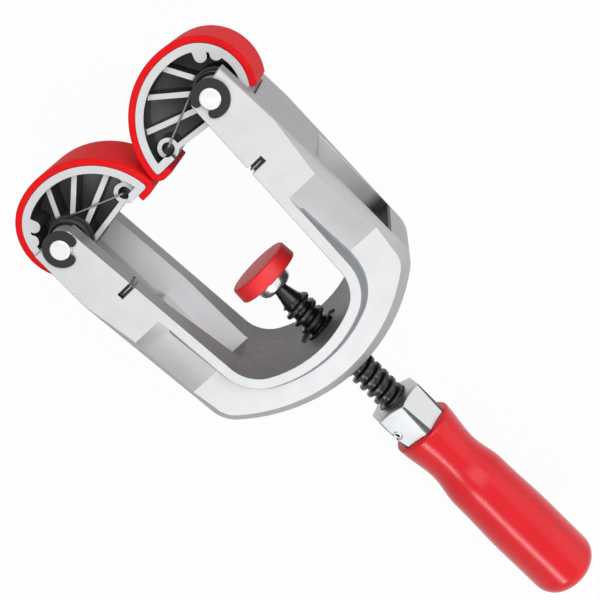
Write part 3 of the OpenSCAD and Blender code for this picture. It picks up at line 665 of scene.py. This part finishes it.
def at_channel_floor(point):
    """Whether a point lies level with the floor of an arm's channel."""
    return abs(abs(point.z - AXIS_Z) - CHANNEL_LEVEL) < NEAR


def slope_channels(bm):
    """Thickens the arms' flanges toward the crown, inside their channels."""
    level = [f for f in bm.faces if abs(f.normal.z) > LEVEL_TILT]
    cut_across(bm, [f for f in level if at_channel_floor(f.calc_center_median())], SLOPE_START)
    for v in bm.verts:
        within = abs(v.co.x) < CHANNEL_HALF and POCKET_END - 0.5 * MM < v.co.y < SLOPE_START
        if within and at_channel_floor(v.co):
            thicker = CHANNEL_SLOPE * (SLOPE_START - v.co.y)
            v.co.z -= math.copysign(thicker, v.co.z - AXIS_Z)
    bm.normal_update()


def runs_out(edge):
    """Whether an edge ends where the raised rim sinks into the arm's face."""
    near = 0.5 * MM
    far_end = max(v.co.y for v in edge.verts)
    below = min(abs(abs(v.co.z - AXIS_Z) - (FRONT_Z - AXIS_Z)) for v in edge.verts)
    return abs(far_end - SLOPE_START) < near and below < near


def sharpen_slopes(mesh):
    """Keeps the lines crisp where the bow's level faces turn into its shallow slopes."""
    steepest, level = 0.9, 0.999
    tilts_at = {}
    for face in mesh.polygons:
        for key in face.edge_keys:
            tilts_at.setdefault(key, []).append(abs(face.normal.z))
    for edge in mesh.edges:
        tilts = sorted(tilts_at[edge.key])
        if steepest < tilts[0] < level < tilts[-1]:
            edge.use_edge_sharp = True


def bow_and_jaws():
    """The bow, and the cam, band, pin and clips of each side."""
    bow_piece()
    for side in ("left", "right"):
        softened(f"{side}_cam", f"{side}_cam_casting", cast_cam, 0.15 * MM, gap=0.25 * MM)
        softened(f"{side}_cam_band", f"{side}_band", red_band, 0.4 * MM, crease=24)
        softened(f"{side}_pivot_pin", f"{side}_pin", zinc_pin, 0.2 * MM, crease=30)
        for end in ("front", "rear"):
            softened(f"{side}_{end}_clip", f"{side}_{end}_ring", clip_steel, 0.15 * MM)


def jaw_springs():
    """Round wire, wound from the frame's leg to the cam's."""
    for side in ("left", "right"):
        node = f"{side}_cam_spring"
        bm = welded(node)
        piece = finished(bm, f"{side}_spring_wire", node, spring_steel, math.pi)
        rounding = piece.modifiers.new("round_wire", "SUBSURF")
        rounding.levels = rounding.render_levels = 2
        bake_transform(piece)


# Spindle, ferrule and handle


def thread_height(t):
    """The thread's profile over one pitch, with rounded crests, from 0 to 1."""
    half_foot, side_shade = 0.36, 0.2
    return ease((half_foot - abs(t - 0.5)) / side_shade)


def rolled_thread():
    """A bmesh of the thread, which sinks to its root at both ends and is closed there."""
    points = 20
    turns = math.ceil((THREAD_START - THREAD_END) / THREAD_PITCH) + 2
    bm = bmesh.new()
    first = THREAD_END - 1.5 * THREAD_PITCH
    verts = []
    for i in range(points + 1):
        r = ROOT_R + THREAD_DEEP * thread_height(i / points)
        verts.append(bm.verts.new((r, first + THREAD_PITCH * i / points, AXIS_Z)))
    edges = [bm.edges.new(pair) for pair in zip(verts, verts[1:])]
    bmesh.ops.spin(
        bm, geom=verts + edges, cent=(0, 0, AXIS_Z), axis=(0, 1, 0),
        dvec=(0, THREAD_PITCH / SCREW_STEPS, 0), angle=math.tau * turns, steps=SCREW_STEPS * turns,
    )
    bmesh.ops.remove_doubles(bm, verts=bm.verts, dist=10 * WELD)
    for y, way in ((THREAD_END, -1), (THREAD_START, 1)):
        bmesh.ops.bisect_plane(
            bm, geom=bm.verts[:] + bm.edges[:] + bm.faces[:], dist=WELD / 10,
            plane_co=(0, y, 0), plane_no=(0, way, 0), clear_outer=True,
        )
    for v in bm.verts:
        room = min(v.co.y - THREAD_END, THREAD_START - v.co.y) / (THREAD_PITCH / 2)
        out = Vector((v.co.x, 0, v.co.z - AXIS_Z))
        if room < 1 and out.length > ROOT_R:
            shrunk = mix(ROOT_R, out.length, max(0, room))
            v.co = Vector((0, v.co.y, AXIS_Z)) + out.normalized() * shrunk
    open_edges = [e for e in bm.edges if e.is_boundary]
    bmesh.ops.holes_fill(bm, edges=open_edges, sides=0)
    bmesh.ops.recalc_face_normals(bm, faces=bm.faces)
    return bm


def spindle_core():
    """A mesh of the shank, cone, neck and head."""
    bm = bmesh.new()
    spun(bm, [
        (0, spindle_low.y), (SHANK_R, spindle_low.y), (SHANK_R, THREAD_START),
        (NECK_R, NECK_END), (NECK_R, HEAD_FRONT - HEAD_T), (HEAD_R, HEAD_FRONT - HEAD_T),
        (HEAD_R, HEAD_FRONT), (0, HEAD_FRONT),
    ], SCREW_STEPS)
    mesh = bpy.data.meshes.new("screw_core")
    bm.to_mesh(mesh)
    bm.free()
    return mesh


def screw():
    """The rolled thread round its core."""
    bm = rolled_thread()
    core = spindle_core()
    bm.from_mesh(core)
    bpy.data.meshes.remove(core)
    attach(finished(bm, "screw", "spindle", black_steel), "screw")


def handle_radius(t):
    """The handle's radius, t from 0 at the rim to 1 at the rounded end."""
    waist, shoulder, belly = 0.2, 0.37, 0.67
    if t < waist:
        return mix(HANDLE_RIM_R, HANDLE_WAIST_R, ease(t / waist))
    if t < shoulder:
        return mix(HANDLE_WAIST_R, HANDLE_SHOULDER_R, ease((t - waist) / (shoulder - waist)))
    return mix(HANDLE_SHOULDER_R, HANDLE_BELLY_R, ease((t - shoulder) / (belly - shoulder)))


def grip():
    """The handle, turned from its front round its outside to its domed end."""
    steps = 70
    edge = 1.2 * MM
    straight = HANDLE_LEN - HANDLE_END_RUN - HANDLE_DOME
    end_flat = HANDLE_BELLY_R - HANDLE_END_R
    profile = [(0, spindle_low.y), (SHANK_R, spindle_low.y), (SHANK_R, HANDLE_FRONT)]
    profile += arc((HANDLE_RIM_R - edge, HANDLE_FRONT - edge), edge, 90, 15, 5)
    for i in range(steps + 1):
        d = mix(edge, straight, i / steps)
        profile.append((handle_radius(d / HANDLE_LEN), HANDLE_FRONT - d))
    round_at = (end_flat, HANDLE_BACK + HANDLE_DOME + HANDLE_END_RUN)
    profile += arc(round_at, (HANDLE_END_R, HANDLE_END_RUN), -6, -84, 12)
    profile += arc((0, HANDLE_BACK + HANDLE_DOME), (end_flat, HANDLE_DOME), -10, -90, 6)
    bm = bmesh.new()
    spun(bm, profile, TURNED_STEPS)
    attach(finished(bm, "grip", "handle", red_handle), "screw")


def hex_nut():
    """The ferrule, with broad round corners between its flats."""
    bm = welded("hex_ferrule")
    crease = 40
    lengthwise = 5 * MM
    sharp = outward_edges(bm, crease)
    corners = [e for e in sharp if abs(e.verts[0].co.y - e.verts[1].co.y) > lengthwise]
    # The round corners are marked for painted shade.
    painted_shade = bm.faces.layers.float.new(SHADE_MARK_KEY)
    for face in soften(bm, corners, radius=1.5 * MM, segments=6):
        face[painted_shade] = 1.0
    soften(bm, outward_edges(bm, crease), radius=0.4 * MM, segments=3)
    piece = finished(bm, "hex_nut", "hex_ferrule", zinc_hex)
    keep_flats(piece)
    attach(piece, BODY_OF["hex_ferrule"])


# Swivel pad


def swivel_pad():
    """The red cap with rounded edges, and its plated bell."""
    back_edge = 0.8 * MM
    taper = 0.3 * MM
    front_r = PAD_R - taper
    bm = bmesh.new()
    spun(bm, [
        (0, PAD_FACE - PAD_SKIN), (PAD_R - PAD_SKIN, PAD_FACE - PAD_SKIN),
        (PAD_R - PAD_SKIN, PAD_BACK),
        *arc((PAD_R - back_edge, PAD_BACK + back_edge), back_edge, -90, 0, 5),
        *arc((front_r - PAD_EDGE, PAD_FACE - PAD_EDGE), PAD_EDGE, 3, 90, 6),
        (0, PAD_FACE),
    ], TURNED_STEPS)
    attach(finished(bm, "pad_face_cap", "pad_cap", red_pad), "pad")
    softened("pad_socket", "pad_bell", zinc, 0.25 * MM)


bow_and_jaws()
jaw_springs()
screw()
grip()
swivel_pad()
hex_nut()
softened("roll_pin", "spring_pin", zinc_pin, 0.3 * MM)

for node, finish in (("spindle_bush", dull_steel), ("thrust_ball", zinc), ("ball_cup", cup_brass)):
    frame["nodes"][node].data.materials.clear()
    frame["nodes"][node].data.materials.append(finish)


# Floor, light and camera


def pale_floor():
    """A floor that looks white to the camera and keeps a faint shadow."""
    f = Finish("pale_floor")
    matt = f.node("ShaderNodeBsdfDiffuse", {}, {"Color": (0.6, 0.6, 0.6)})
    white = f.node("ShaderNodeEmission", {}, {"Color": (1, 1, 1), "Strength": 1.0})
    f.surface(f.node("ShaderNodeMixShader", {}, {0: f.seen() * 0.97, 1: matt, 2: white}))
    bm = bmesh.new()
    bmesh.ops.create_grid(bm, x_segments=1, y_segments=1, size=3)
    bmesh.ops.translate(bm, verts=bm.verts, vec=(0, 0, cad_box[0].z - 0.2 * MM))
    mesh = bpy.data.meshes.new("floor")
    bm.to_mesh(mesh)
    bm.free()
    floor = bpy.data.objects.new("floor", mesh)
    bpy.context.scene.collection.objects.link(floor)
    mesh.materials.append(f.material)


def softbox(name, place, target, size, power):
    """A soft rectangular lamp that faces a point, with its second size along the spindle."""
    data = bpy.data.lights.new(name, "AREA")
    data.shape = "RECTANGLE"
    data.size, data.size_y = size
    data.energy = power
    lamp = bpy.data.objects.new(name, data)
    lamp.location = place
    lamp.rotation_mode = "QUATERNION"
    back = (Vector(place) - Vector(target)).normalized()
    across = Vector((0, 1, 0)).cross(back).normalized()
    turn = Matrix((across, back.cross(across), back)).transposed()
    lamp.rotation_quaternion = turn.to_quaternion()
    bpy.context.scene.collection.objects.link(lamp)


def studio():
    """White surroundings, a large lamp above, a fill and a narrow lamp for the handle's streak."""
    world = bpy.data.worlds.new("studio")
    bpy.context.scene.world = world
    w = Nodes(world, "ShaderNodeOutputWorld")
    dim = w.node("ShaderNodeBackground", {}, {"Color": (1, 1, 1), "Strength": 0.20})
    white = w.node("ShaderNodeBackground", {}, {"Color": (1, 1, 1), "Strength": 1.0})
    w.surface(w.node("ShaderNodeMixShader", {}, {0: w.seen(), 1: dim, 2: white}))
    centre = (0, 0, AXIS_Z)
    grip_centre = (0, (HANDLE_FRONT + HANDLE_BACK) / 2, AXIS_Z)
    softbox("main_box", (1.0, 0.44, 1.70), centre, size=(1.9, 1.7), power=28.0)
    softbox("fill_box", (0.80, -0.55, 0.32), grip_centre, size=(0.9, 0.9), power=1.6)
    softbox("streak_box", (-0.33, -0.52, 0.81), grip_centre, size=(0.17, 0.6), power=3.3)


def photo_camera():
    """The photograph's view: from above, behind the right arm."""
    place = Vector((118.6, 100.7, 402.8)) * MM
    target = Vector((2.2, 14.8, 24.3)) * MM
    roll = math.radians(-170.3)
    data = bpy.data.cameras.new("photo_view")
    data.sensor_width = 36
    data.lens = 64.8
    data.clip_start = 0.01
    camera = bpy.data.objects.new("photo_view", data)
    camera.location = place
    camera.rotation_mode = "QUATERNION"
    look = (target - place).to_track_quat("-Z", "Y")
    camera.rotation_quaternion = look @ Matrix.Rotation(roll, 3, "Z").to_quaternion()
    bpy.context.scene.collection.objects.link(camera)
    bpy.context.scene.camera = camera


pale_floor()
studio()
photo_camera()
bpy.context.scene.view_settings.view_transform = "Standard"
